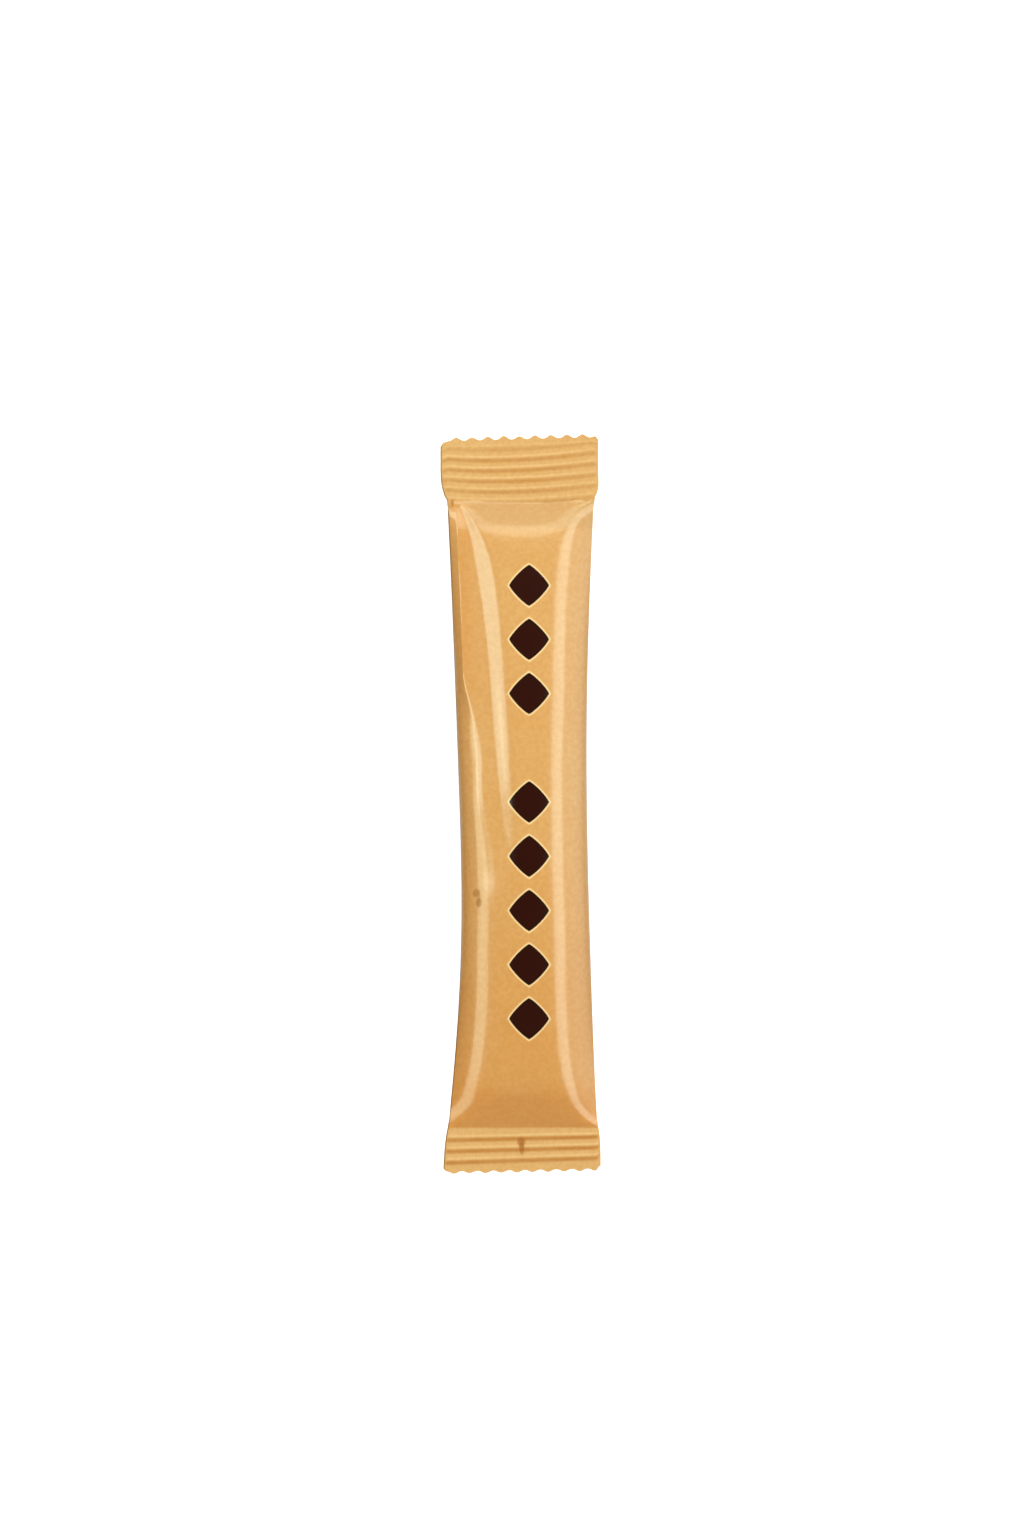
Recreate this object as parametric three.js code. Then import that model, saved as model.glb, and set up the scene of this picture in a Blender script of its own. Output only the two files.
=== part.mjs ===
// Slim stick pouch of sugar, lying on its back with the plain front face up.
// Millimetres, +Z up. X runs across the pouch, Y along it towards the upper end seal.
// The film tube is filled to a soft pillow, pressed flat and ribbed at both ends,
// and closed along the back by a seam that is folded flat to one side.
import * as THREE from 'three';
import { mergeVertices } from 'three/addons/utils/BufferGeometryUtils.js';

// Overall film sizes
const SEAL_HALF_WIDTH = 10.26;
const SEAL_THICKNESS = 0.36;
const SEAL_HEIGHT = 4.0;
const TOP_SEAL_LINE = 39.4;
const TOP_CUT = 47.42;
const BOTTOM_SEAL_LINE = -42.1;
const BOTTOM_CUT = -47.6;

// Filled body
const WAIST_Y = -7.3;
const WAIST_HALF_WIDTH = 8.26;
const WIDENING_UP = 1.27;
const WIDENING_DOWN = 1.45;
const CROWN_AT_ENDS = 1.8;
const CROWN_GAIN = 2.7;
const TOP_SLOPE = 0.56;
const BOTTOM_SLOPE = 0.52;
const CORNER_REACH = 2.6;
const SIDEWAYS_BOW = 0.66;

// Long crease that marks off a flat facet on the left of the upper half
const FACET_SLOPE = 0.2;
const CREASE_DROP = 0.13;
const CREASE_DROP_AT_CORNER = 0.25;
const CREASE_WIDTH = 2.9;
const CREASE_WIDTH_AT_CORNER = 0.9;

// Ribs and cut edges of the end seals
const RIB_HEIGHT = 0.2;
const TOP_RIBS = 6;
const BOTTOM_RIBS = 3;
const TEETH = 10;
const TOP_TOOTH_DEPTH = 0.42;
const BOTTOM_TOOTH_DEPTH = 0.3;
const TOP_CUT_TILT = 0.027;
const BOTTOM_CUT_TILT = 0.02;

// Back seam folded flat
const SEAM_WIDTH = 6;
const SEAM_THICKNESS = 0.3;
const SEAM_EDGE_RUN = 0.06;

// Small pinch in the left side of the lower half
const DENT = { x: -5.5, y: -12.2, acrossRadius: 0.55, alongRadius: 1.1, depth: 0.12 };

// Steps of the surface grid
const COLUMNS = TEETH * 3;
const SEAM_COLUMN = 6;
const STEPS_PER_RIB = 3;
const BODY_STEP = 4.2;

function clamp(value, low, high) {
  return Math.min(high, Math.max(low, value));
}

function mix(a, b, t) {
  return a + (b - a) * t;
}

function smooth(from, to, value) {
  const t = clamp((value - from) / (to - from), 0, 1);
  return t * t * (3 - 2 * t);
}

function bump(dx, dy) {
  return Math.exp(-dx * dx - dy * dy);
}

// Distance into the filled body from the nearer seal line, zero inside a seal
function intoBody(y) {
  return Math.max(0, Math.min(TOP_SEAL_LINE - y, y - BOTTOM_SEAL_LINE));
}

function towardsEnds(y) {
  const up = clamp((y - WAIST_Y) / (TOP_SEAL_LINE - WAIST_Y), 0, 1);
  const down = clamp((WAIST_Y - y) / (WAIST_Y - BOTTOM_SEAL_LINE), 0, 1);
  return { up, down };
}

function centreLine(y) {
  const bow = SIDEWAYS_BOW * bump((y + 20) / 25, 0);
  return bow - 0.05 + 0.15 * smooth(42, 36, y) + 0.17 * bump((y - 40) / 1.8, 0);
}

function halfWidth(y) {
  const { up, down } = towardsEnds(y);
  const body = WAIST_HALF_WIDTH + WIDENING_UP * up ** 1.85 + WIDENING_DOWN * down ** 2;
  const aboveLine = Math.max(0, y - TOP_SEAL_LINE);
  const belowLine = Math.max(0, BOTTOM_SEAL_LINE - y);
  const topSeal = SEAL_HALF_WIDTH - 0.6 * Math.exp(-aboveLine / 0.9);
  const bottomSeal = SEAL_HALF_WIDTH - 0.45 * Math.exp(-belowLine / 2.2);
  const withTop = mix(body, topSeal, smooth(TOP_SEAL_LINE - 1.3, TOP_SEAL_LINE + 0.3, y));
  return mix(withTop, bottomSeal, smooth(BOTTOM_SEAL_LINE + 1.3, BOTTOM_SEAL_LINE - 0.3, y));
}

// Fullness of the front: it grows from the seals inwards, slowly from the upper one
function crown(y) {
  const { up, down } = towardsEnds(y);
  const full = CROWN_AT_ENDS + CROWN_GAIN * (1 - Math.max(up, down) ** 2);
  const fromTop = mix(0.35, 1, smooth(-0.5, 4.8, TOP_SEAL_LINE - y));
  return full * fromTop * mix(0.5, 1, smooth(0, 5, y - BOTTOM_SEAL_LINE));
}

// Height of a slope of 1 that sets in gradually from start to end, that far inside the seal
function endSlope(inside, shift, start, end) {
  const rise = (u) => {
    const t = clamp((u - start) / (end - start), 0, 1);
    return (end - start) * (t ** 3 - t ** 4 / 2) + Math.max(0, u - end);
  };
  return rise(inside + shift) - rise(shift);
}

// The given height, held down beside both seals by slopes that run up into the corners
function betweenSeals(height, side, y) {
  const shift = CORNER_REACH * smooth(0.45, 1, Math.abs(side));
  const slopes = [
    TOP_SLOPE * endSlope(TOP_SEAL_LINE - y, shift, -0.3, 0.5),
    BOTTOM_SLOPE * endSlope(y - BOTTOM_SEAL_LINE, 0, -1, 0.3),
  ];
  return slopes.reduce((held, slope) => {
    const kept = Math.max(0, slope);
    return (held * kept) / Math.max(1e-9, held ** 5 + kept ** 5) ** 0.2;
  }, height);
}

// Rounded cross-section: boxy beside the seals, a soft oval further in
function dome(side, y) {
  const inwards = smooth(1, 27, intoBody(y));
  const power = mix(3.2, 2.35, inwards);
  const root = mix(1, 0.5, inwards);
  return crown(y) * Math.max(0, 1 - Math.abs(side) ** power) ** root;
}

// Line of the long crease, from the upper left corner towards the middle
function creaseLine(y) {
  const down = Math.max(0, TOP_SEAL_LINE - y);
  return -(4 * Math.exp(-down / 6.5) + 4 - 0.066 * down);
}

// How far the rounded left side reaches in from the edge: all the way low down, hardly at all high up
function leftRoundness(y) {
  const middle = mix(halfWidth(y), 3.6, smooth(-14, 2, y));
  return mix(middle, 1.1, smooth(5.5, 17, y));
}

// The upper left side: a step down at the long crease, then a flat facet and a rounded wall at the edge
function creasedSide(side, x, y) {
  const left = creaseLine(y) - x;
  const sideAtCrease = (creaseLine(y) - centreLine(y)) / halfWidth(y);
  const down = TOP_SEAL_LINE - y;
  const width = mix(CREASE_WIDTH_AT_CORNER, CREASE_WIDTH, smooth(0, 9, down));
  const drop = mix(CREASE_DROP_AT_CORNER, CREASE_DROP, smooth(1, 7, down));
  const fade = smooth(-15, -2, y) * smooth(0, 0.8, down);
  const step = drop * width * fade * smooth(-width / 2, width / 2, left);
  const slope = FACET_SLOPE * smooth(-18, 10, y) * clamp(crown(y) / 3, 0, 1);
  const facet = dome(Math.max(side, sideAtCrease), y) - slope * Math.max(0, left) - step;
  const inwards = clamp(((side + 1) * halfWidth(y)) / leftRoundness(y), 0, 1);
  const power = mix(2.35, 1, smooth(8, 14, y));
  return facet * (1 - (1 - inwards) ** power) ** 0.5;
}

function frontHeight(side, x, y) {
  if (intoBody(y) <= 0) {
    return 0;
  }
  const round = dome(side, y);
  const creased = side < 0.3 ? creasedSide(side, x, y) : round;
  const height = betweenSeals(Math.max(0, mix(round, creased, smooth(-14, -8, y))), side, y);
  const dent = bump((x - DENT.x) / DENT.acrossRadius, (y - DENT.y) / DENT.alongRadius);
  return Math.max(0, height - DENT.depth * dent);
}

// Rib line bowed a little, lowest left of the middle
function ribBow(x) {
  return (x > -3.5 ? 0.0044 : 0.0085) * (x + 3.5) ** 2 - 0.2;
}

function topCut(x) {
  const corner = 0.75 * smooth(-9.2, -10.5, x);
  return TOP_CUT + TOP_CUT_TILT * x - corner;
}

function bottomCut(x) {
  return BOTTOM_CUT + BOTTOM_CUT_TILT * x;
}

function tooth(column, depth, phase) {
  const wave = 0.5 + 0.5 * Math.cos((2 * Math.PI * (column + phase)) / 3);
  const uneven = 1 + 0.22 * Math.sin(column * 0.83 + phase);
  return depth * wave * uneven;
}

// Rounded ribs with narrow grooves between them, dying out at the film's side edges
function ribs(side, alongRibs, count) {
  if (alongRibs <= 0 || alongRibs >= count) {
    return 0;
  }
  const wave = Math.abs(Math.sin(Math.PI * alongRibs)) - 0.45;
  const sideFade = smooth(1, 0.9, Math.abs(side));
  const endFade = smooth(0, 0.3, alongRibs) * smooth(count, count - 0.3, alongRibs);
  return RIB_HEIGHT * wave * sideFade * endFade;
}

// Rows of the grid from the upper cut to the lower cut. Each row knows where it lies.
function listRows() {
  const rows = [];
  const topSteps = TOP_RIBS * STEPS_PER_RIB;
  for (let i = topSteps; i >= 0; i -= 1) {
    rows.push({ zone: 'top', share: i / topSteps });
  }
  const topShoulder = [0.4, 1, 1.8, 2.8, 4, 5.6, 7.6, 10.2, 13.4];
  for (const d of topShoulder) {
    rows.push({ zone: 'body', y: TOP_SEAL_LINE - d });
  }
  const bottomShoulder = [12.6, 9.4, 6.8, 4.8, 3.2, 2, 1, 0.4];
  const upperEnd = TOP_SEAL_LINE - topShoulder[topShoulder.length - 1];
  const lowerEnd = BOTTOM_SEAL_LINE + bottomShoulder[0];
  const steps = Math.round((upperEnd - lowerEnd) / BODY_STEP);
  for (let i = 1; i < steps; i += 1) {
    rows.push({ zone: 'body', y: mix(upperEnd, lowerEnd, i / steps) });
  }
  for (const offset of [1.1, 0, -1.1]) {
    rows.push({ zone: 'body', y: DENT.y + offset });
  }
  for (const d of bottomShoulder) {
    rows.push({ zone: 'body', y: BOTTOM_SEAL_LINE + d });
  }
  const bottomSteps = (BOTTOM_RIBS + 1) * STEPS_PER_RIB;
  for (let i = 0; i <= bottomSteps; i += 1) {
    rows.push({ zone: 'bottom', share: i / bottomSteps });
  }
  const bodyRows = rows.filter((row) => row.zone === 'body').sort((a, b) => b.y - a.y);
  const kept = bodyRows.filter((row, i) => i === 0 || bodyRows[i - 1].y - row.y > 0.35);
  const top = rows.filter((row) => row.zone === 'top');
  const bottom = rows.filter((row) => row.zone === 'bottom');
  return [...top, ...kept, ...bottom];
}

// Where a row passes at x, and how high its ribs stand there
function rowPlace(row, x, side, column) {
  if (row.zone === 'body') {
    return { y: row.y, rib: 0 };
  }
  const isTop = row.zone === 'top';
  const line = isTop ? TOP_SEAL_LINE : BOTTOM_SEAL_LINE;
  const cut = isTop ? topCut(x) : bottomCut(x);
  const bowed = isTop ? ribBow(x) * smooth(0, 0.25, row.share) * smooth(1, 0.8, row.share) : 0;
  const count = isTop ? TOP_RIBS : BOTTOM_RIBS + 1;
  const rib = ribs(side, row.share * count, isTop ? TOP_RIBS : BOTTOM_RIBS + 0.2);
  let y = mix(line, cut, row.share) + bowed;
  if (row.share === 1) {
    y += isTop ? tooth(column, TOP_TOOTH_DEPTH, 0) : -tooth(column, BOTTOM_TOOTH_DEPTH, 1);
  }
  return { y, rib };
}

// Share of the way across, -1 to 1. The body's columns crowd towards its steep sides.
function acrossFront(column, bodyShare) {
  const even = (2 * column) / COLUMNS - 1;
  const crowded = mix(even, Math.sin((Math.PI / 2) * even), 0.65);
  return mix(even, crowded, bodyShare);
}

// On the back two columns stay beside each other where the seam's free edge runs
function acrossBack(column, bodyShare, y) {
  const even = (2 * column) / COLUMNS - 1;
  const width = halfWidth(y);
  const edge = (-SEAM_WIDTH - centreLine(y)) / width;
  const run = SEAM_EDGE_RUN / width;
  const left = mix(-1, edge - run / 2, column / SEAM_COLUMN);
  const rightShare = (column - SEAM_COLUMN - 1) / (COLUMNS - SEAM_COLUMN - 1);
  const eased = mix(rightShare, Math.sin((Math.PI / 2) * rightShare), 0.45);
  const right = mix(edge + run / 2, 1, eased);
  return mix(even, column <= SEAM_COLUMN ? left : right, bodyShare);
}

// The seam stands out of the pressed seals; under the body the sheet gives way to it
function seamOffset(x, side, y) {
  const beyondEdge = smooth(-SEAM_WIDTH + SEAM_EDGE_RUN / 3, -SEAM_WIDTH - SEAM_EDGE_RUN / 3, x);
  const fromLeft = (side + 1) * halfWidth(y);
  const inBody = SEAM_THICKNESS * beyondEdge * smooth(0, 1.1, fromLeft);
  const inSeal = -SEAM_THICKNESS * (1 - beyondEdge) * smooth(0.7, 0, x);
  return mix(inSeal, inBody, smooth(0.2, 3.5, intoBody(y)));
}

function buildPouch() {
  const rows = listRows();
  const last = rows.length - 1;
  const geometry = new THREE.BoxGeometry(2, 2, 2, COLUMNS, last, 1);
  const position = geometry.attributes.position;
  for (let i = 0; i < position.count; i += 1) {
    const column = Math.round(((position.getX(i) + 1) / 2) * COLUMNS);
    const row = rows[Math.round(((1 - position.getY(i)) / 2) * last)];
    const isFront = position.getZ(i) > 0;
    const nominal = row.zone === 'body' ? row.y : rowPlace(row, 0, 0, 0).y;
    const bodyShare = smooth(0, 5, intoBody(nominal));
    const side = isFront ? acrossFront(column, bodyShare) : acrossBack(column, bodyShare, nominal);
    const x = centreLine(nominal) + side * halfWidth(nominal);
    const { y, rib } = rowPlace(row, x, side, column);
    const half = SEAL_THICKNESS / 2;
    let z = SEAL_HEIGHT + half + rib + frontHeight(side, x, y);
    if (!isFront) {
      const sheet = Math.max(0, SEAL_HEIGHT - half + rib - betweenSeals(dome(side, y), side, y));
      z = sheet + seamOffset(x, side, y);
    }
    position.setXYZ(i, x, y, z);
  }
  geometry.deleteAttribute('normal');
  geometry.deleteAttribute('uv');
  const merged = mergeVertices(geometry, 1e-4);
  merged.computeBoundingBox();
  const box = merged.boundingBox;
  merged.translate(-(box.min.x + box.max.x) / 2, -(box.min.y + box.max.y) / 2, -box.min.z);
  merged.computeVertexNormals();
  return merged;
}

const film = new THREE.MeshStandardMaterial({ color: 0xdba568, roughness: 0.42, metalness: 0 });
film.name = 'kraft_film';

const pouch = new THREE.Mesh(buildPouch(), film);
pouch.name = 'pouch';

const group = new THREE.Group();
group.name = 'sugar_pouch';
group.add(pouch);

export default group;
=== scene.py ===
"""Slim stick pouch of sugar in kraft film: filled body, ribbed end seals, folded back seam, small studio.

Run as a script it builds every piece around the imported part. The panel "Sugar pouch" in the 3D view's
sidebar lists the same steps and the sizes and colours that they use.
"""

import math

import bmesh
import bpy
from bpy.props import FloatProperty, FloatVectorProperty, IntProperty, PointerProperty
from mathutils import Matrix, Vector, noise


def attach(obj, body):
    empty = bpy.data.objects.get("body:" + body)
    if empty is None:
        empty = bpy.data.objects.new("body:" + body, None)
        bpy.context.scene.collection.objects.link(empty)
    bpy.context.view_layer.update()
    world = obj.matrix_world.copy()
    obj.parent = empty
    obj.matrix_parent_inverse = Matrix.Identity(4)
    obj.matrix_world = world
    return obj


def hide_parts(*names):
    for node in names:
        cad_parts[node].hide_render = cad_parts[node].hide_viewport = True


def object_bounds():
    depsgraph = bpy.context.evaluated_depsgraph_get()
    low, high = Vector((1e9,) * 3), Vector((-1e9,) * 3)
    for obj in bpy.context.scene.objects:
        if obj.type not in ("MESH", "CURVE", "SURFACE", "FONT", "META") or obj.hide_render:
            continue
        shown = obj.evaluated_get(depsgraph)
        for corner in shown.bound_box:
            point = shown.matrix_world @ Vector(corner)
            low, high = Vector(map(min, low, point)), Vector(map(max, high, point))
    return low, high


bl_info = {
    "name": "Sugar pouch",
    "version": (1, 0, 0),
    "blender": (4, 5, 0),
    "location": "3D View > Sidebar > Sugar pouch",
    "description": "Builds a filled stick pouch of sugar with ribbed end seals and a folded back seam",
    "category": "Object",
}

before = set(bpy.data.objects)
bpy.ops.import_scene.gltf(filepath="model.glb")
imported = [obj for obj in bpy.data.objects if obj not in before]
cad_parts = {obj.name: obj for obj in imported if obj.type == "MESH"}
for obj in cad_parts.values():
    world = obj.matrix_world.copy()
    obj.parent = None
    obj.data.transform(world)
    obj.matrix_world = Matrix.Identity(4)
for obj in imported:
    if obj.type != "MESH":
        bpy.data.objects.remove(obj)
CAD_LOW, CAD_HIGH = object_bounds()

MM = 0.001
BODY = "root"
NODE = "pouch"


# Small maths, all in millimetres


def clamp(value, low=0.0, high=1.0):
    return min(high, max(low, value))


def mix(a, b, t):
    return a + (b - a) * t


def smooth(start, end, value):
    t = clamp((value - start) / (end - start))
    return t * t * (3.0 - 2.0 * t)


def bump(dx, dy):
    return math.exp(-dx * dx - dy * dy)


def ripple(x, y, z, size):
    """Smooth noise from -1 to 1 with features of about that size."""
    return noise.noise(Vector((x / size, y / size, z)))


# Settings a user may change


class FilmSizes(bpy.types.PropertyGroup):
    """Sizes of the film tube and the filled body"""

    seal_width: FloatProperty(
        name="Seal width", description="Flat width of the film at both end seals",
        default=0.02053, unit="LENGTH", precision=4)
    seal_height: FloatProperty(
        name="Seal height", description="Height of the seals' plane above the surface the pouch rests on",
        default=0.004, unit="LENGTH", precision=4)
    film_thickness: FloatProperty(
        name="Pressed thickness", description="Thickness of the two films where they are pressed together",
        default=0.00026, unit="LENGTH", precision=5)
    top_seal_line: FloatProperty(
        name="Upper seal line", description="Where the filled body ends at the upper seal",
        default=0.0394, unit="LENGTH", precision=4)
    bottom_seal_line: FloatProperty(
        name="Lower seal line", description="Where the filled body ends at the lower seal",
        default=-0.0421, unit="LENGTH", precision=4)
    waist: FloatProperty(
        name="Waist", description="Place along the pouch where the filled body is narrowest",
        default=-0.0073, unit="LENGTH", precision=4)
    waist_width: FloatProperty(
        name="Waist width", description="Width of the filled body at its waist",
        default=0.01652, unit="LENGTH", precision=4)
    crown: FloatProperty(
        name="Fullness", description="Height of the filled front above the seals' plane at the waist",
        default=0.0045, unit="LENGTH", precision=4)
    seam_width: FloatProperty(
        name="Seam width", description="Width of the seam folded flat along the back",
        default=0.006, unit="LENGTH", precision=4)
    seam_thickness: FloatProperty(
        name="Seam thickness", description="Thickness of the folded seam",
        default=0.0003, unit="LENGTH", precision=5)


class SealSizes(bpy.types.PropertyGroup):
    """Ribs and toothed cuts of the end seals"""

    top_rise: FloatProperty(
        name="Upper ribs' rise", description="Height of the ribs pressed into the upper seal",
        default=0.00008, unit="LENGTH", precision=5)
    bottom_rise: FloatProperty(
        name="Lower ribs' rise", description="Height of the ribs pressed into the lower seal",
        default=0.0001, unit="LENGTH", precision=5)
    top_ribs: IntProperty(
        name="Upper ribs", description="Ribs pressed into the upper seal", default=6, min=1)
    bottom_ribs: IntProperty(
        name="Lower ribs", description="Ribs pressed into the lower seal", default=4, min=1)
    teeth: IntProperty(name="Teeth", description="Teeth along each cut edge", default=10, min=1)
    top_tooth: FloatProperty(
        name="Upper tooth depth", description="Depth of the teeth of the upper cut",
        default=0.00042, unit="LENGTH", precision=5)
    bottom_tooth: FloatProperty(
        name="Lower tooth depth", description="Depth of the teeth of the lower cut",
        default=0.0003, unit="LENGTH", precision=5)


class PouchColours(bpy.types.PropertyGroup):
    """Colours of the film and its print"""

    kraft: FloatVectorProperty(
        name="Kraft", description="Main colour of the film", subtype="COLOR", size=3,
        default=(0.648, 0.398, 0.152))
    # This deep tone is also painted as shade low down, on the lower shoulder and along the left side.
    kraft_deep_and_shade: FloatVectorProperty(
        name="Kraft, deep", description="Deeper tone of the film's mottling", subtype="COLOR", size=3,
        default=(0.62, 0.28, 0.066))
    ink: FloatVectorProperty(
        name="Ink", description="Dark brown of the printed motif", subtype="COLOR", size=3,
        default=(0.025, 0.0028, 0.0002))
    # This pale tone is also painted on the seals' crests as a highlight.
    print_edge_and_crest_highlight: FloatVectorProperty(
        name="Print edge", description="Pale line round the printed motif", subtype="COLOR", size=3,
        default=(0.88, 0.66, 0.33))
    floor: FloatVectorProperty(
        name="Floor", description="Colour of the studio floor", subtype="COLOR", size=3,
        default=(0.9, 0.9, 0.9))


# The pouch's surface


class PouchShape:
    """The film's surface, in millimetres: X across, Y along, Z up from the resting surface."""

    TOP_CUT = 47.42
    BOTTOM_CUT = -47.6
    WIDENING_UP = 1.27
    WIDENING_DOWN = 1.45
    CROWN_AT_ENDS = 1.8
    TOP_SLOPE = 0.56
    BOTTOM_SLOPE = 0.52
    TOP_SLOPE_SETS_IN = (-0.3, 0.5)
    BOTTOM_SLOPE_SETS_IN = (-1.0, 0.3)
    CORNER_REACH = 2.6
    SIDEWAYS_BOW = 0.66
    BOW_MIDDLE = -20.0
    BOW_REACH = 25.0
    TOP_NECK = 0.6
    TOP_NECK_LENGTH = 0.9
    BOTTOM_NECK = 0.45
    BOTTOM_NECK_LENGTH = 2.2
    FACET_SLOPE = 0.2
    CREASE_WIDTH = 2.9
    CREASE_WIDTH_AT_CORNER = 0.9
    CREASE_DROP = 0.13
    CREASE_DROP_AT_CORNER = 0.25
    DENT = (-5.5, -12.2)
    DENT_REACH = (0.5, 1.0)
    DENT_DEPTH = 0.05
    ROOT_MARK = (0.15, -44.0)
    ROOT_MARK_REACH = (0.3, 1.0)
    ROOT_MARK_DEPTH = 0.05
    GROOVE_WIDTH = 0.29
    CREST_ABOVE = 0.5
    CREST_WIDTH = 0.16
    TOP_GROOVE_STRENGTHS = (0.7, 0.8, 0.95, 1.0, 1.0, 0.45)
    ROWS_PER_RIB = 10

    def __init__(self, sizes, seals):
        self.seal_half = sizes.seal_width / 2 / MM
        self.plane = sizes.seal_height / MM
        self.half_film = sizes.film_thickness / 2 / MM
        self.top_line = sizes.top_seal_line / MM
        self.bottom_line = sizes.bottom_seal_line / MM
        self.waist = sizes.waist / MM
        self.waist_half = sizes.waist_width / 2 / MM
        self.gain = sizes.crown / MM - self.CROWN_AT_ENDS
        self.seam_width = sizes.seam_width / MM
        self.seam_thickness = sizes.seam_thickness / MM
        self.top_rise = seals.top_rise / MM
        self.bottom_rise = seals.bottom_rise / MM
        self.top_ribs = seals.top_ribs
        self.bottom_ribs = seals.bottom_ribs
        self.teeth = seals.teeth
        self.top_tooth = seals.top_tooth / MM
        self.bottom_tooth = seals.bottom_tooth / MM

    def into_body(self, y):
        return max(0.0, min(self.top_line - y, y - self.bottom_line))

    def towards_ends(self, y):
        up = clamp((y - self.waist) / (self.top_line - self.waist))
        down = clamp((self.waist - y) / (self.waist - self.bottom_line))
        return up, down

    def centre_line(self, y):
        bow = self.SIDEWAYS_BOW * bump((y - self.BOW_MIDDLE) / self.BOW_REACH, 0.0)
        return bow - 0.05 + 0.15 * smooth(42.0, 36.0, y) + 0.17 * bump((y - 40.0) / 1.8, 0.0)

    def half_width(self, y):
        up, down = self.towards_ends(y)
        body = self.waist_half + self.WIDENING_UP * up**1.85 + self.WIDENING_DOWN * down**2
        above, below = max(0.0, y - self.top_line), max(0.0, self.bottom_line - y)
        top = self.seal_half - self.TOP_NECK * math.exp(-above / self.TOP_NECK_LENGTH)
        bottom = self.seal_half - self.BOTTOM_NECK * math.exp(-below / self.BOTTOM_NECK_LENGTH)
        width = mix(body, top, smooth(self.top_line - 1.3, self.top_line + 0.3, y))
        return mix(width, bottom, smooth(self.bottom_line + 1.3, self.bottom_line - 0.3, y))

    @staticmethod
    def spot(x, y, place, reach):
        """1 at that place, falling off round it."""
        return bump((x - place[0]) / reach[0], (y - place[1]) / reach[1])

    def crown(self, y):
        """Fullness of the front: it grows from the seals inwards, slowly from the upper one."""
        up, down = self.towards_ends(y)
        full = self.CROWN_AT_ENDS + self.gain * (1.0 - max(up, down) ** 2)
        from_top = mix(0.35, 1.0, smooth(-0.5, 4.2, self.top_line - y))
        return full * from_top * mix(0.5, 1.0, smooth(0.0, 5.0, y - self.bottom_line))

    def end_slope(self, inside, shift, start, end):
        """Height of a slope of 1 that sets in gradually from start to end, that far inside the seal."""
        def rise(u):
            t = clamp((u - start) / (end - start))
            return (end - start) * (t**3 - t**4 / 2) + max(0.0, u - end)
        return rise(inside + shift) - rise(shift)

    def between_seals(self, height, side, y):
        """The given height, held down beside both seals by slopes that run up into the corners."""
        shift = self.CORNER_REACH * smooth(0.45, 1.0, abs(side))
        for slope in (
            self.TOP_SLOPE * self.end_slope(self.top_line - y, shift, *self.TOP_SLOPE_SETS_IN),
            self.BOTTOM_SLOPE * self.end_slope(y - self.bottom_line, 0.0, *self.BOTTOM_SLOPE_SETS_IN),
        ):
            height *= slope / max(1e-9, height**5 + slope**5) ** 0.2
        return height

    def dome(self, side, y):
        """Rounded cross-section: boxy beside the seals, a soft oval further in."""
        inwards = smooth(1.0, 27.0, self.into_body(y))
        power = mix(3.2, 2.35, inwards)
        root = mix(1.0, 0.5, inwards)
        return self.crown(y) * max(0.0, 1.0 - abs(side) ** power) ** root

    def crease_line(self, y):
        """The long crease, from the upper left corner towards the middle."""
        down = max(0.0, self.top_line - y)
        return -(4.0 * math.exp(-down / 6.5) + 4.0 - 0.066 * down)

    def left_roundness(self, y):
        """How far the rounded left side reaches in: all the way low down, hardly at all high up."""
        middle = mix(self.half_width(y), 3.6, smooth(-14.0, 2.0, y))
        return mix(middle, 1.1, smooth(5.5, 17.0, y))

    def creased_side(self, side, x, y):
        """The upper left side: a step down at the long crease, a flat facet, a rounded wall at the edge."""
        left = self.crease_line(y) - x
        side_at_crease = (self.crease_line(y) - self.centre_line(y)) / self.half_width(y)
        down = self.top_line - y
        width = mix(self.CREASE_WIDTH_AT_CORNER, self.CREASE_WIDTH, smooth(0.0, 9.0, down))
        drop = mix(self.CREASE_DROP_AT_CORNER, self.CREASE_DROP, smooth(1.0, 7.0, down))
        fade = smooth(-15.0, -2.0, y) * smooth(0.0, 0.8, down)
        step = drop * width * fade * smooth(-width / 2, width / 2, left)
        slope = self.FACET_SLOPE * smooth(-18.0, 10.0, y) * clamp(self.crown(y) / 3.0)
        facet = self.dome(max(side, side_at_crease), y) - slope * max(0.0, left) - step
        inwards = clamp((side + 1.0) * self.half_width(y) / self.left_roundness(y))
        power = mix(2.35, 1.0, smooth(8.0, 14.0, y))
        return facet * (1.0 - (1.0 - inwards) ** power) ** 0.5

    def front_height(self, side, x, y):
        """Height of the front film above the seals' plane."""
        if self.into_body(y) <= 0.0:
            return 0.0
        height = self.dome(side, y)
        if side < 0.3:
            height = mix(height, self.creased_side(side, x, y), smooth(-14.0, -8.0, y))
        height = self.between_seals(max(0.0, height), side, y)
        height -= self.DENT_DEPTH * self.spot(x, y, self.DENT, self.DENT_REACH)
        fade = smooth(0.0, 3.0, self.into_body(y)) * smooth(1.0, 0.9, abs(side))
        height += fade * (0.03 * ripple(x, y, 3.0, 9.0) + 0.012 * ripple(x, y, 7.0, 3.5))
        return max(0.0, height)

    def rib_bow(self, x, top):
        """The seals' grooves aren't quite straight."""
        if not top:
            return 0.017 * x
        return (0.0044 if x > -3.5 else 0.0085) * (x + 3.5) ** 2 - 0.2

    def cut_line(self, x, top):
        if top:
            corner = 0.75 * smooth(-9.2, -10.5, x) + 0.35 * smooth(9.5, 10.3, x)
            return self.TOP_CUT + 0.027 * x - corner
        corner = 0.6 * smooth(-9.5, -10.2, x) + 0.35 * smooth(9.8, 10.4, x)
        return self.BOTTOM_CUT + 0.02 * x + corner

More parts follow.
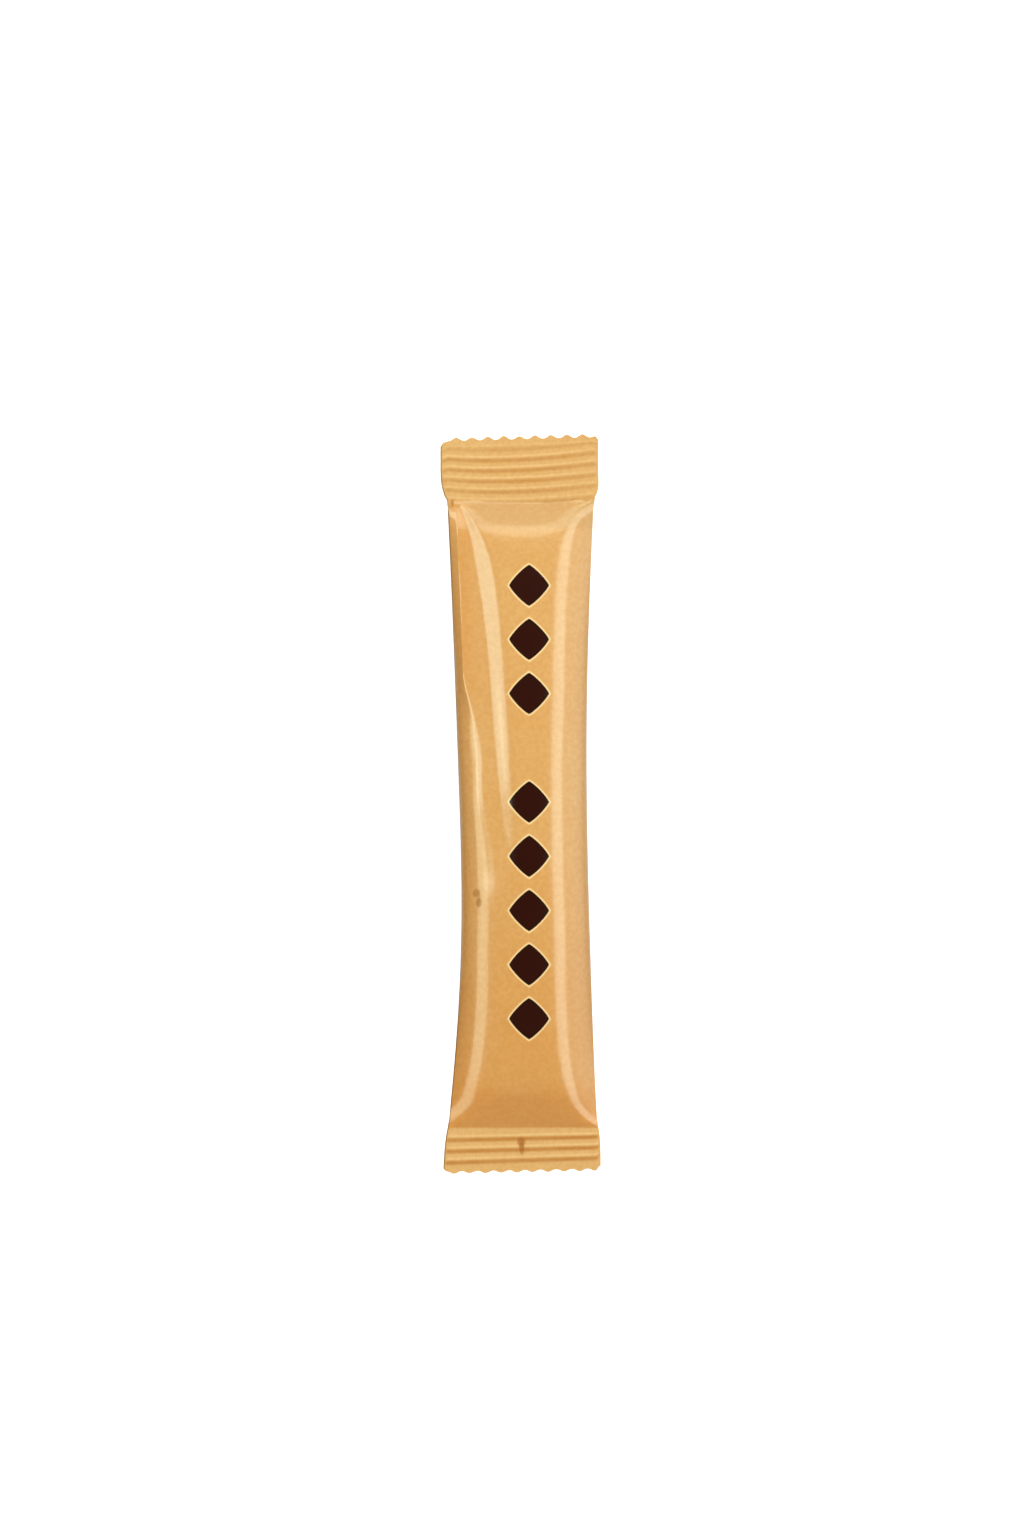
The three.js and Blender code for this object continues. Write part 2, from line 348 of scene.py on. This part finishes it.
    def tooth(self, across, top):
        """Rounded tips and wide valleys, a little uneven."""
        depth = self.top_tooth if top else self.bottom_tooth
        turn = across * self.teeth + (0.0 if top else 0.33)
        wave = (0.5 + 0.5 * math.cos(2.0 * math.pi * turn)) ** 1.25
        uneven = 1.0 + 0.25 * ripple(turn, 0.0, 5.0 if top else 9.0, 0.9)
        return depth * wave * uneven * smooth(0.0, 0.02, min(across, 1.0 - across))

    def nearest_groove(self, middle):
        """The nearest groove, counted from the body outwards, how far above it this is, and the pitch."""
        if middle > 0.0:
            pitch = (self.TOP_CUT - self.top_line) / (self.top_ribs - 0.2)
            along = (middle - self.top_line + 0.07) / pitch
            nearest = clamp(round(along), 0, self.top_ribs - 1)
            return nearest, (along - nearest) * pitch, pitch
        pitch = (self.bottom_line - self.BOTTOM_CUT) / (self.bottom_ribs - 0.13)
        along = (self.bottom_line - middle) / pitch
        nearest = clamp(round(along), 1, self.bottom_ribs - 1)
        return nearest, (nearest - along) * pitch, pitch

    def pressed(self, side, x, middle):
        """About 1 in a groove of the seals and below 0 on the crest above it, dying out at the side edges.
        The colour uses it for painted shade in the grooves and a painted highlight on the crests.
        """
        nearest, above, pitch = self.nearest_groove(middle)
        strength = 1.0 + 0.2 * ripple(x, nearest * 1.7, 11.0, 4.5)
        if middle > 0.0:
            strength *= self.TOP_GROOVE_STRENGTHS[min(nearest, len(self.TOP_GROOVE_STRENGTHS) - 1)]
            strength *= 1.0 - 0.4 * smooth(3.0, 8.0, x) - 0.2 * smooth(-4.0, -8.0, x)
        groove = math.exp(-((abs(above) / self.GROOVE_WIDTH) ** 3))
        crest = math.exp(-(((above - self.CREST_ABOVE) / self.CREST_WIDTH) ** 2))
        return strength * (groove - 0.4 * crest) * smooth(1.0, 0.95, abs(side))

    def ribs(self, side, middle):
        """Each rib is highest just above its groove and falls slowly towards the next groove up."""
        nearest, above, pitch = self.nearest_groove(middle)
        top = middle > 0.0
        last = nearest == (0 if top else self.bottom_ribs - 1)
        ramp = 0.0 if last and above < 0.0 else -above / pitch
        rise = max(0.0, smooth(-0.2, 0.2, above) + ramp)
        return (self.top_rise if top else self.bottom_rise) * rise * smooth(1.0, 0.93, abs(side))

    def seal_marks(self, x, y):
        """A small dent in the lower seal, where the back seam's root passes."""
        return -self.ROOT_MARK_DEPTH * self.spot(x, y, self.ROOT_MARK, self.ROOT_MARK_REACH)

    def rows(self):
        """Rows of the surface grid from the upper cut to the lower one: (zone, share of seal or y)."""
        count = self.top_ribs * self.ROWS_PER_RIB
        found = [("top", 1.0 - i / count) for i in range(count + 1)]
        y = self.top_line
        while y > self.bottom_line + 0.3:
            near = min(self.top_line - y, y - self.bottom_line)
            y -= mix(0.22, 0.55, smooth(1.0, 9.0, near))
            if y > self.bottom_line + 0.12:
                found.append(("body", y))
        count = self.bottom_ribs * self.ROWS_PER_RIB
        found += [("bottom", i / count) for i in range(count + 1)]
        return found

    def row_place(self, row, x, across):
        """Where a row passes at x."""
        zone, value = row
        if zone == "body":
            return value + self.rib_bow(x, value > 0.0) * smooth(3.0, 0.0, self.into_body(value))
        top = zone == "top"
        line = self.top_line if top else self.bottom_line
        y = mix(line, self.cut_line(x, top), value) + self.rib_bow(x, top) * smooth(1.0, 0.8, value)
        if value == 1.0:
            y += self.tooth(across, top) * (1.0 if top else -1.0)
        return y

    def nominal(self, row):
        zone, value = row
        if zone == "body":
            return value
        if zone == "top":
            return mix(self.top_line, self.TOP_CUT, value)
        return mix(self.bottom_line, self.BOTTOM_CUT, value)

    def seam_outside(self, x, side, y):
        """How far the outer face of the seam and the sheets beside it leave the plain back film."""
        beyond = 1.0 if x < -self.seam_width else 0.0
        from_left = (side + 1.0) * self.half_width(y)
        in_body = self.seam_thickness * beyond * smooth(0.0, 1.1, from_left)
        in_seal = -self.seam_thickness * (1.0 - beyond) * smooth(0.7, 0.0, x)
        return mix(in_seal, in_body, smooth(0.2, 3.5, self.into_body(y)))

    def back_under_seam(self, x, side, y):
        """The back film itself, which gives way to the seam that lies on it."""
        from_left = (side + 1.0) * self.half_width(y)
        in_body = self.seam_thickness * smooth(0.35, -0.25, x) * smooth(0.0, 1.1, from_left)
        return in_body * smooth(0.2, 3.5, self.into_body(y))

    def back_sheet(self, side, y, rib):
        if self.into_body(y) <= 0.0:
            return self.plane - self.half_film + rib
        return max(0.0, self.plane - self.half_film + rib - self.between_seals(self.dome(side, y), side, y))

    def place(self, row, across, front):
        """One vertex of the film: across is -1 to 1 over the grid's columns."""
        middle = self.nominal(row)
        body_share = smooth(0.0, 5.0, self.into_body(middle))
        crowded = mix(across, math.sin(math.pi / 2 * across), 0.85)
        side = mix(across, crowded, body_share)
        x = self.centre_line(middle) + side * self.half_width(middle)
        y = self.row_place(row, x, (across + 1.0) / 2)
        rib = self.ribs(side, middle) + self.seal_marks(x, y)
        if front:
            z = self.plane + self.half_film + rib + self.front_height(side, x, y)
        else:
            z = self.back_sheet(side, y, rib) + self.back_under_seam(x, side, y)
        return (x, y, z), self.pressed(side, x, middle), side


# Materials


class Nodes:
    """Short hand for building a node tree."""

    def __init__(self, material):
        material.use_nodes = True
        self.tree = material.node_tree
        self.tree.nodes.clear()

    def add(self, kind, **settings):
        node = self.tree.nodes.new(kind)
        for key, value in settings.items():
            setattr(node, key, value)
        return node

    def join(self, source, target):
        self.tree.links.new(source, target)

    def feed(self, socket, value):
        if isinstance(value, bpy.types.NodeSocket):
            self.join(value, socket)
        else:
            socket.default_value = value

    def math(self, operation, a, b=None, c=None):
        node = self.add("ShaderNodeMath", operation=operation)
        for socket, value in zip(node.inputs, (a, b, c)):
            if value is not None:
                self.feed(socket, value)
        return node.outputs[0]

    def step(self, value, low, high):
        """0 below low and 1 above high, smoothly between."""
        node = self.add("ShaderNodeMapRange", interpolation_type="SMOOTHSTEP")
        for socket, number in zip(node.inputs[:5], (value, low, high, 0.0, 1.0)):
            self.feed(socket, number)
        return node.outputs[0]

    def fall(self, value, low, high):
        """1 below low and 0 above high, smoothly between."""
        return self.math("SUBTRACT", 1.0, self.step(value, low, high))

    def mix_colour(self, factor, a, b, blend="MIX"):
        node = self.add("ShaderNodeMix", data_type="RGBA", blend_type=blend)
        self.feed(node.inputs[0], factor)
        self.feed(node.inputs[6], a)
        self.feed(node.inputs[7], b)
        return node.outputs[2]

    def noise(self, vector, size, detail=2.0, roughness=0.5):
        """Noise with features of that many millimetres."""
        node = self.add("ShaderNodeTexNoise")
        self.join(vector, node.inputs["Vector"])
        node.inputs["Scale"].default_value = 1.0 / (size * MM)
        node.inputs["Detail"].default_value = detail
        node.inputs["Roughness"].default_value = roughness
        return node.outputs["Fac"]


def colour(value):
    return (*value, 1.0)


PRINT_X = 0.0011
PRINT_PITCH = 0.007
PRINT_HALF_WIDTH = 0.0026
PRINT_HALF_LENGTH = 0.0027
PRINT_FIRST = 0.0003
PRINT_ROUNDING = 1.2
PRINT_BLOCKS = ((0.0108, 0.0318), (-0.0312, 0.0038))
INK_RIM = (0.012, 0.003, 0.001, 1.0)
GROOVE_SHADE_TONE = (0.50, 0.215, 0.047, 1.0)
SEAL_SIDE_SHADE_TONE = (0.885, 0.88, 0.81, 1.0)
GRAIN_TONE = (0.95, 0.91, 0.85, 1.0)
MARK_AND_SHADE_TONE = (0.34, 0.115, 0.017, 1.0)
LEFT_EDGE_SHADE_TONE = (0.03, 0.012, 0.004, 1.0)
SATIN_TINT = (0.80, 1.0, 0.92, 1.0)
# Heights above the resting surface from which the print and the marks show
PRINT_FROM = 0.0048
MARKS_FROM = (0.0036, 0.0040)
# Small brown spots on the front: place, reach both ways, strength. The first two sit where the seam's root
# meets the lower seal, the next two are painted shade in the dent on the left, the last is painted shade in
# the tuck at the upper left corner.
MARKS_AND_PAINTED_SHADE = (
    ((0.0001, -0.0439), (0.0007, 0.0008), 0.7),
    ((0.00015, -0.0447), (0.00045, 0.0011), 0.7),
    ((-0.0057, -0.0115), (0.0006, 0.0007), 0.6),
    ((-0.0054, -0.0127), (0.0005, 0.0008), 0.7),
    ((-0.00885, 0.0391), (0.00026, 0.0007), 0.5),
)


def print_distance(nodes, x, y):
    """Below 1 inside the printed diamonds, growing outwards."""
    away = nodes.math("ABSOLUTE", nodes.math("SUBTRACT", x, PRINT_X))
    turn = nodes.math("DIVIDE", nodes.math("SUBTRACT", y, PRINT_FIRST - PRINT_PITCH / 2), PRINT_PITCH)
    share = nodes.math("SUBTRACT", nodes.math("FRACT", turn), 0.5)
    along = nodes.math("MULTIPLY", nodes.math("ABSOLUTE", share), PRINT_PITCH)
    wide = nodes.math("POWER", nodes.math("DIVIDE", away, PRINT_HALF_WIDTH), PRINT_ROUNDING)
    tall = nodes.math("POWER", nodes.math("DIVIDE", along, PRINT_HALF_LENGTH), PRINT_ROUNDING)
    return nodes.math("POWER", nodes.math("ADD", wide, tall), 1 / PRINT_ROUNDING)


def add_print(nodes, base, colours, x, y, z):
    """The dark motif with its pale outline, on the front only."""
    distance = print_distance(nodes, x, y)
    blocks = [
        nodes.math("MULTIPLY", nodes.math("GREATER_THAN", y, low), nodes.math("LESS_THAN", y, high))
        for low, high in PRINT_BLOCKS]
    where = nodes.math("MULTIPLY", nodes.math("ADD", *blocks), nodes.math("GREATER_THAN", z, PRINT_FROM))
    print_edge_and_crest_highlight = nodes.math("MULTIPLY", nodes.fall(distance, 1.06, 1.12), where)
    ink = nodes.math("MULTIPLY", nodes.fall(distance, 0.97, 1.01), where)
    tone = nodes.mix_colour(nodes.step(distance, 0.86, 0.93), colour(colours.ink), INK_RIM)
    base = nodes.mix_colour(nodes.math("MULTIPLY", print_edge_and_crest_highlight, 0.75), base, colour(colours.print_edge_and_crest_highlight))
    return nodes.mix_colour(ink, base, tone)


def add_marks_and_painted_shade(nodes, base, x, y, z):
    # Brown spots, partly painted shade in the dent and the tuck.
    for place, reach, amount in MARKS_AND_PAINTED_SHADE:
        far = [
            nodes.math("DIVIDE", nodes.math("SUBTRACT", a, b), r) for a, b, r in zip((x, y), place, reach)]
        squares = nodes.math("ADD", *(nodes.math("MULTIPLY", side, side) for side in far))
        shown = nodes.math("MULTIPLY", amount, nodes.step(z, *MARKS_FROM))
        base = nodes.mix_colour(
            nodes.math("MULTIPLY", nodes.fall(squares, 0.15, 1.0), shown), base, MARK_AND_SHADE_TONE)
    return base


def film_tone(nodes, coords, colours, x, y):
    """Colour of the bare film: painted shade low down, on the lower shoulder, at the left and beside the
    upper seal, painted shade in the seals' grooves with a painted highlight on their crests, random mottling
    and fine paper grain.
    """
    broad = nodes.step(nodes.noise(coords, 9.0, 3.0), 0.35, 0.65)
    in_body = nodes.math("SUBTRACT", nodes.step(y, -0.04225, -0.0418), nodes.step(y, 0.0386, 0.0396))
    # Painted shade: darker towards the lower end, most on the lower shoulder, and along the left side of the
    # body; the broad noise is random mottling.
    lower = nodes.fall(y, -0.034, 0.004)
    shoulder_shade = nodes.fall(y, -0.041, -0.035)
    from_middle = nodes.math("MULTIPLY", x, -1.0)
    shade_and_mottling = nodes.math("MULTIPLY_ADD", lower, 0.28, nodes.math("MULTIPLY_ADD", shoulder_shade, 0.62, 0.32))
    shade_and_mottling = nodes.math("MULTIPLY_ADD", nodes.step(from_middle, 0.0050, 0.0076), 0.25, shade_and_mottling)
    shade_and_mottling = nodes.math("MULTIPLY_ADD", shade_and_mottling, in_body, nodes.math("MULTIPLY", broad, 0.12))
    base = nodes.mix_colour(shade_and_mottling, colour(colours.kraft), colour(colours.kraft_deep_and_shade))

    # Painted shade: the slope just inside the upper seal is drawn darker, except far to the left.
    seal_side_shade = nodes.math("MULTIPLY", nodes.step(y, 0.0350, 0.0366), nodes.step(y, 0.0396, 0.0390))
    seal_side_shade = nodes.math("MULTIPLY", seal_side_shade, nodes.fall(from_middle, 0.0055, 0.0080))
    base = nodes.mix_colour(seal_side_shade, base, SEAL_SIDE_SHADE_TONE, "MULTIPLY")

    # Painted shade in the seals' grooves and a painted highlight on the crests above them, both read from the
    # "pressed" attribute.
    pressed = nodes.add("ShaderNodeAttribute", attribute_name="pressed").outputs["Fac"]
    strength = nodes.math("MULTIPLY_ADD", nodes.step(y, -0.04, 0.0), -0.3, 0.9)
    base = nodes.mix_colour(nodes.math("MULTIPLY", pressed, strength), base, GROOVE_SHADE_TONE)
    base = nodes.mix_colour(nodes.math("MULTIPLY", pressed, -0.9), base, colour(colours.print_edge_and_crest_highlight))

    fibre = nodes.step(nodes.noise(coords, 0.6, 3.0, 0.65), 0.38, 0.62)
    return nodes.mix_colour(fibre, base, GRAIN_TONE, "MULTIPLY")


def kraft_material(name, colours, printed):
    """Satin kraft laminate; the printed front also has the motif and painted shade along its left edge."""
    material = bpy.data.materials.new(name)
    nodes = Nodes(material)
    coords = nodes.add("ShaderNodeTexCoord").outputs["Object"]
    split = nodes.add("ShaderNodeSeparateXYZ")
    nodes.join(coords, split.inputs[0])
    x, y, z = split.outputs

    base = film_tone(nodes, coords, colours, x, y)
    if printed:
        base = add_print(nodes, base, colours, x, y, z)
    base = add_marks_and_painted_shade(nodes, base, x, y, z)
    if printed:
        # Painted shade: a thin dark line along the front's left edge.
        across = nodes.add("ShaderNodeAttribute", attribute_name="across").outputs["Fac"]
        shade = nodes.fall(nodes.math("ADD", across, 1.0), 0.006, 0.026)
        shade = nodes.math("MULTIPLY", nodes.math("MULTIPLY", shade, nodes.step(z, 0.0038, 0.0041)), 0.6)
        base = nodes.mix_colour(shade, base, LEFT_EDGE_SHADE_TONE)

    rough = nodes.math("MULTIPLY_ADD", nodes.noise(coords, 1.6, 2.0), 0.05, 0.12)
    grain = nodes.noise(coords, 0.22, 3.0, 0.6)
    waves = nodes.noise(coords, 2.4, 2.0, 0.5)
    relief = nodes.math("ADD", nodes.math("MULTIPLY", grain, 0.35), waves)
    bump_node = nodes.add("ShaderNodeBump")
    bump_node.inputs["Strength"].default_value = 0.2
    bump_node.inputs["Distance"].default_value = 0.00003
    nodes.join(relief, bump_node.inputs["Height"])

    shader = nodes.add("ShaderNodeBsdfPrincipled")
    nodes.join(base, shader.inputs["Base Color"])
    nodes.join(rough, shader.inputs["Roughness"])
    nodes.join(bump_node.outputs["Normal"], shader.inputs["Normal"])
    shader.inputs["IOR"].default_value = 1.8
    shader.inputs["Specular Tint"].default_value = SATIN_TINT
    output = nodes.add("ShaderNodeOutputMaterial")
    nodes.join(shader.outputs[0], output.inputs["Surface"])
    return material


# Pieces

SHARP_EDGE = math.radians(22.0)
COLUMNS_PER_TOOTH = 16
SEAM_COLUMNS = 24
SEAM_ROOT = 0.3
SEAM_LAYER = 0.2


def finish_piece(bm, name, material, *replaced):
    """Turns the mesh into an object that rides on the part's body."""
    bmesh.ops.recalc_face_normals(bm, faces=bm.faces)
    for face in bm.faces:
        face.smooth = True
    for edge in bm.edges:
        edge.smooth = not (edge.is_manifold and edge.calc_face_angle(0.0) > SHARP_EDGE)
    mesh = bpy.data.meshes.new(name)
    bm.to_mesh(mesh)
    bm.free()
    piece = bpy.data.objects.new(name, mesh)
    bpy.context.scene.collection.objects.link(piece)
    mesh.materials.append(material)
    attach(piece, BODY)
    if replaced:
        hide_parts(*replaced)
    return piece


def closed_sheet(columns, rows):
    """A flat grid from -1 to 1 both ways, given a second layer below it and closed all round."""
    bm = bmesh.new()
    bmesh.ops.create_grid(bm, x_segments=columns, y_segments=rows, size=1.0)
    made = bmesh.ops.extrude_face_region(bm, geom=bm.faces[:])
    lower = [item for item in made["geom"] if isinstance(item, bmesh.types.BMVert)]
    bmesh.ops.translate(bm, vec=(0.0, 0.0, -1.0), verts=lower)
    return bm


def build_film_pouch(context):
    settings = context.scene
    shape = PouchShape(settings.pouch_film, settings.pouch_seals)
    rows = shape.rows()
    columns = shape.teeth * COLUMNS_PER_TOOTH
    bm = closed_sheet(columns, len(rows) - 1)
    # The "pressed" layer carries the painted groove shade and crest highlight.
    pressed = bm.verts.layers.float.new("pressed")
    across = bm.verts.layers.float.new("across")
    for vert in bm.verts:
        row = rows[round((1.0 - vert.co.y) / 2 * (len(rows) - 1))]
        front = vert.co.z > -0.5
        place, vert[pressed], vert[across] = shape.place(row, vert.co.x, front)
        vert.co = Vector(place) * MM
    low = [min(v.co[k] for v in bm.verts) for k in range(3)]
    high = [max(v.co[k] for v in bm.verts) for k in range(3)]
    centre = (CAD_LOW + CAD_HIGH) / 2
    shift = Vector((centre.x - (low[0] + high[0]) / 2, centre.y - (low[1] + high[1]) / 2, CAD_LOW.z - low[2]))
    bmesh.ops.translate(bm, vec=shift, verts=bm.verts)
    material = kraft_material("kraft_film_printed", settings.pouch_colours, True)
    return finish_piece(bm, "film_pouch", material, NODE)


def build_back_seam(context):
    settings = context.scene
    shape = PouchShape(settings.pouch_film, settings.pouch_seals)
    rows = shape.rows()
    bm = closed_sheet(SEAM_COLUMNS, len(rows) - 1)
    # The "pressed" layer carries the painted groove shade and crest highlight.
    pressed = bm.verts.layers.float.new("pressed")
    for vert in bm.verts:
        row = rows[round((1.0 - vert.co.y) / 2 * (len(rows) - 1))]
        outer = vert.co.z < -0.5
        middle = shape.nominal(row)
        x = mix(-shape.seam_width, SEAM_ROOT, (vert.co.x + 1.0) / 2)
        side = (x - shape.centre_line(middle)) / shape.half_width(middle)
        y = shape.row_place(row, x, (side + 1.0) / 2)
        rib = shape.ribs(side, middle) + shape.seal_marks(x, y)
        vert[pressed] = shape.pressed(side, x, middle)
        z = shape.back_sheet(side, y, rib) + shape.seam_outside(max(x, -shape.seam_width), side, y)
        vert.co = Vector((x, y, z + (0.0 if outer else SEAM_LAYER))) * MM
    material = kraft_material("kraft_film_back", settings.pouch_colours, False)
    return finish_piece(bm, "back_seam", material)


# Studio

WHITE = (1.0, 1.0, 1.0)
WARM = (1.0, 0.98, 0.8)
GLOW_RIGHT = 1.15
GLOW_BEYOND = 0.45
GLOW_BELOW = 0.85
DIM_OVERHEAD = 0.75
FLOOR_GLOW = 0.62
CAMERA_PLACE = (-0.00111, 0.00468, 0.5587)


def add_lamp(name, tilt_x, tilt_y, along, size, radiance, distance=0.5, tint=WHITE):
    """A soft rectangular lamp over the pouch, that many times as bright as plain white.

    It stands tilt_x degrees off the vertical towards +X or tilt_y degrees towards +Y.
    """
    data = bpy.data.lights.new(name, "AREA")
    data.shape = "RECTANGLE"
    data.size, data.size_y = size
    data.energy = radiance * math.pi * size[0] * size[1]
    data.color = tint
    lamp = bpy.data.objects.new(name, data)
    across, up = math.radians(tilt_x), math.radians(tilt_y)
    lamp.rotation_euler = (-up, across, 0.0)
    lamp.location = (
        math.sin(across) * distance,
        math.sin(up) * distance + along,
        math.cos(across) * math.cos(up) * distance)
    lamp.visible_camera = False
    bpy.context.scene.collection.objects.link(lamp)
    return lamp


def strip_lamp(name, tilt, width, low, high, radiance, tint=WHITE):
    """A long lamp parallel to the pouch."""
    return add_lamp(name, tilt, 0.0, (low + high) / 2, (width, high - low), radiance, tint=tint)


def studio_world():
    """Soft white surroundings: brighter to the right, beyond and below the pouch, dim overhead."""
    world = bpy.data.worlds.new("studio")
    world.use_nodes = True
    nodes = Nodes(world)
    direction = nodes.add("ShaderNodeTexCoord").outputs["Generated"]
    split = nodes.add("ShaderNodeSeparateXYZ")
    nodes.join(direction, split.inputs[0])
    x, y, z = split.outputs
    right = nodes.math("MULTIPLY", nodes.step(x, 0.35, 0.95), nodes.step(z, -0.9, 0.2))
    right = nodes.math("MULTIPLY", right, GLOW_RIGHT)
    beyond = nodes.math("MULTIPLY", nodes.step(y, 0.0, 0.95), GLOW_BEYOND)
    all_round = nodes.math("MULTIPLY_ADD", nodes.step(z, -0.5, 0.05), 0.20, 0.02)
    below = nodes.math("MULTIPLY", nodes.step(nodes.math("MULTIPLY", z, -1.0), 0.35, 0.9), GLOW_BELOW)
    sides = nodes.math("ADD", nodes.math("ADD", right, beyond), nodes.math("ADD", all_round, below))
    overhead = nodes.math("MULTIPLY_ADD", nodes.step(z, 0.80, 0.96), -DIM_OVERHEAD, 1.0)
    background = nodes.add("ShaderNodeBackground")
    nodes.join(nodes.math("MULTIPLY", sides, overhead), background.inputs["Strength"])
    output = nodes.add("ShaderNodeOutputWorld")
    nodes.join(background.outputs[0], output.inputs["Surface"])
    return world


def build_stage(context):
    scene = context.scene
    bm = bmesh.new()
    bmesh.ops.create_grid(bm, x_segments=8, y_segments=8, size=3.0)
    mesh = bpy.data.meshes.new("studio_floor")
    bm.to_mesh(mesh)
    bm.free()
    floor = bpy.data.objects.new("studio_floor", mesh)
    scene.collection.objects.link(floor)
    material = bpy.data.materials.new("studio_floor")
    nodes = Nodes(material)
    shader = nodes.add("ShaderNodeBsdfPrincipled")
    shader.inputs["Base Color"].default_value = colour(scene.pouch_colours.floor)
    shader.inputs["Roughness"].default_value = 0.9
    shader.inputs["Specular IOR Level"].default_value = 0.1
    shader.inputs["Emission Color"].default_value = (1.0, 1.0, 1.0, 1.0)
    shader.inputs["Emission Strength"].default_value = FLOOR_GLOW
    output = nodes.add("ShaderNodeOutputMaterial")
    nodes.join(shader.outputs[0], output.inputs["Surface"])
    mesh.materials.append(material)
    floor.visible_diffuse = False
    floor.visible_glossy = False

    scene.world = studio_world()

    strip_lamp("right_strip", 34.0, 0.15, -1.0, 0.8, 2.35, (1.0, 1.0, 0.95))
    strip_lamp("left_strip_upper", -38.0, 0.16, -0.004, 0.8, 2.75, (1.0, 1.0, 0.92))
    outer = strip_lamp("left_strip_outer", -50.0, 0.18, -1.0, 0.055, 2.2, WARM)
    # Its near end stands closer in, so the highlight runs into the lower left corner
    outer.location.x += 0.118
    outer.rotation_euler.z = math.radians(14.0)
    add_lamp("upper_panel", 0.0, 42.0, 0.0, (0.32, 0.19), 1.35, tint=(1.0, 0.98, 0.85))
    for name, tilt, radiance in (("far_fill", 57.0, 3.5), ("near_fill", -60.0, 1.25)):
        fill = add_lamp(name, 0.0, tilt, 0.0, (0.8, 0.4), radiance, 0.8)
        fill.visible_glossy = False

    data = bpy.data.cameras.new("camera")
    data.lens = 100.0
    camera = bpy.data.objects.new("camera", data)
    camera.location = CAMERA_PLACE
    scene.collection.objects.link(camera)
    scene.camera = camera
    scene.view_settings.view_transform = "Standard"


# Steps and panel


class POUCH_OT_film(bpy.types.Operator):
    """Build the filled film pouch with its ribbed end seals"""

    bl_idname = "pouch.film"
    bl_label = "Filled pouch"

    def execute(self, context):
        build_film_pouch(context)
        return {"FINISHED"}


class POUCH_OT_back_seam(bpy.types.Operator):
    """Build the seam that is folded flat along the back"""

    bl_idname = "pouch.back_seam"
    bl_label = "Back seam"

    def execute(self, context):
        build_back_seam(context)
        return {"FINISHED"}


class POUCH_OT_stage(bpy.types.Operator):
    """Set up the floor, the lamps and the camera"""

    bl_idname = "pouch.stage"
    bl_label = "Studio"

    def execute(self, context):
        build_stage(context)
        return {"FINISHED"}


STEPS = (POUCH_OT_film, POUCH_OT_back_seam, POUCH_OT_stage)


class POUCH_PT_panel(bpy.types.Panel):
    """Steps, sizes and colours of the sugar pouch"""

    bl_idname = "POUCH_PT_panel"
    bl_label = "Sugar pouch"
    bl_space_type = "VIEW_3D"
    bl_region_type = "UI"
    bl_category = "Sugar pouch"

    def draw(self, context):
        for step in STEPS:
            self.layout.operator(step.bl_idname)
        for group in GROUPS:
            values = getattr(context.scene, group)
            column = self.layout.column(align=True)
            for name in type(values).__annotations__:
                column.prop(values, name)


GROUPS = {"pouch_film": FilmSizes, "pouch_seals": SealSizes, "pouch_colours": PouchColours}
CLASSES = (*GROUPS.values(), *STEPS, POUCH_PT_panel)


def register():
    for item in CLASSES:
        bpy.utils.register_class(item)
    for name, group in GROUPS.items():
        setattr(bpy.types.Scene, name, PointerProperty(type=group))


def unregister():
    for name in GROUPS:
        delattr(bpy.types.Scene, name)
    for item in reversed(CLASSES):
        bpy.utils.unregister_class(item)


def main():
    register()
    for step in STEPS:
        area, action = step.bl_idname.split(".")
        if getattr(getattr(bpy.ops, area), action)() != {"FINISHED"}:
            raise RuntimeError(f"{step.bl_label} wasn't built")


if __name__ == "__main__":
    main()
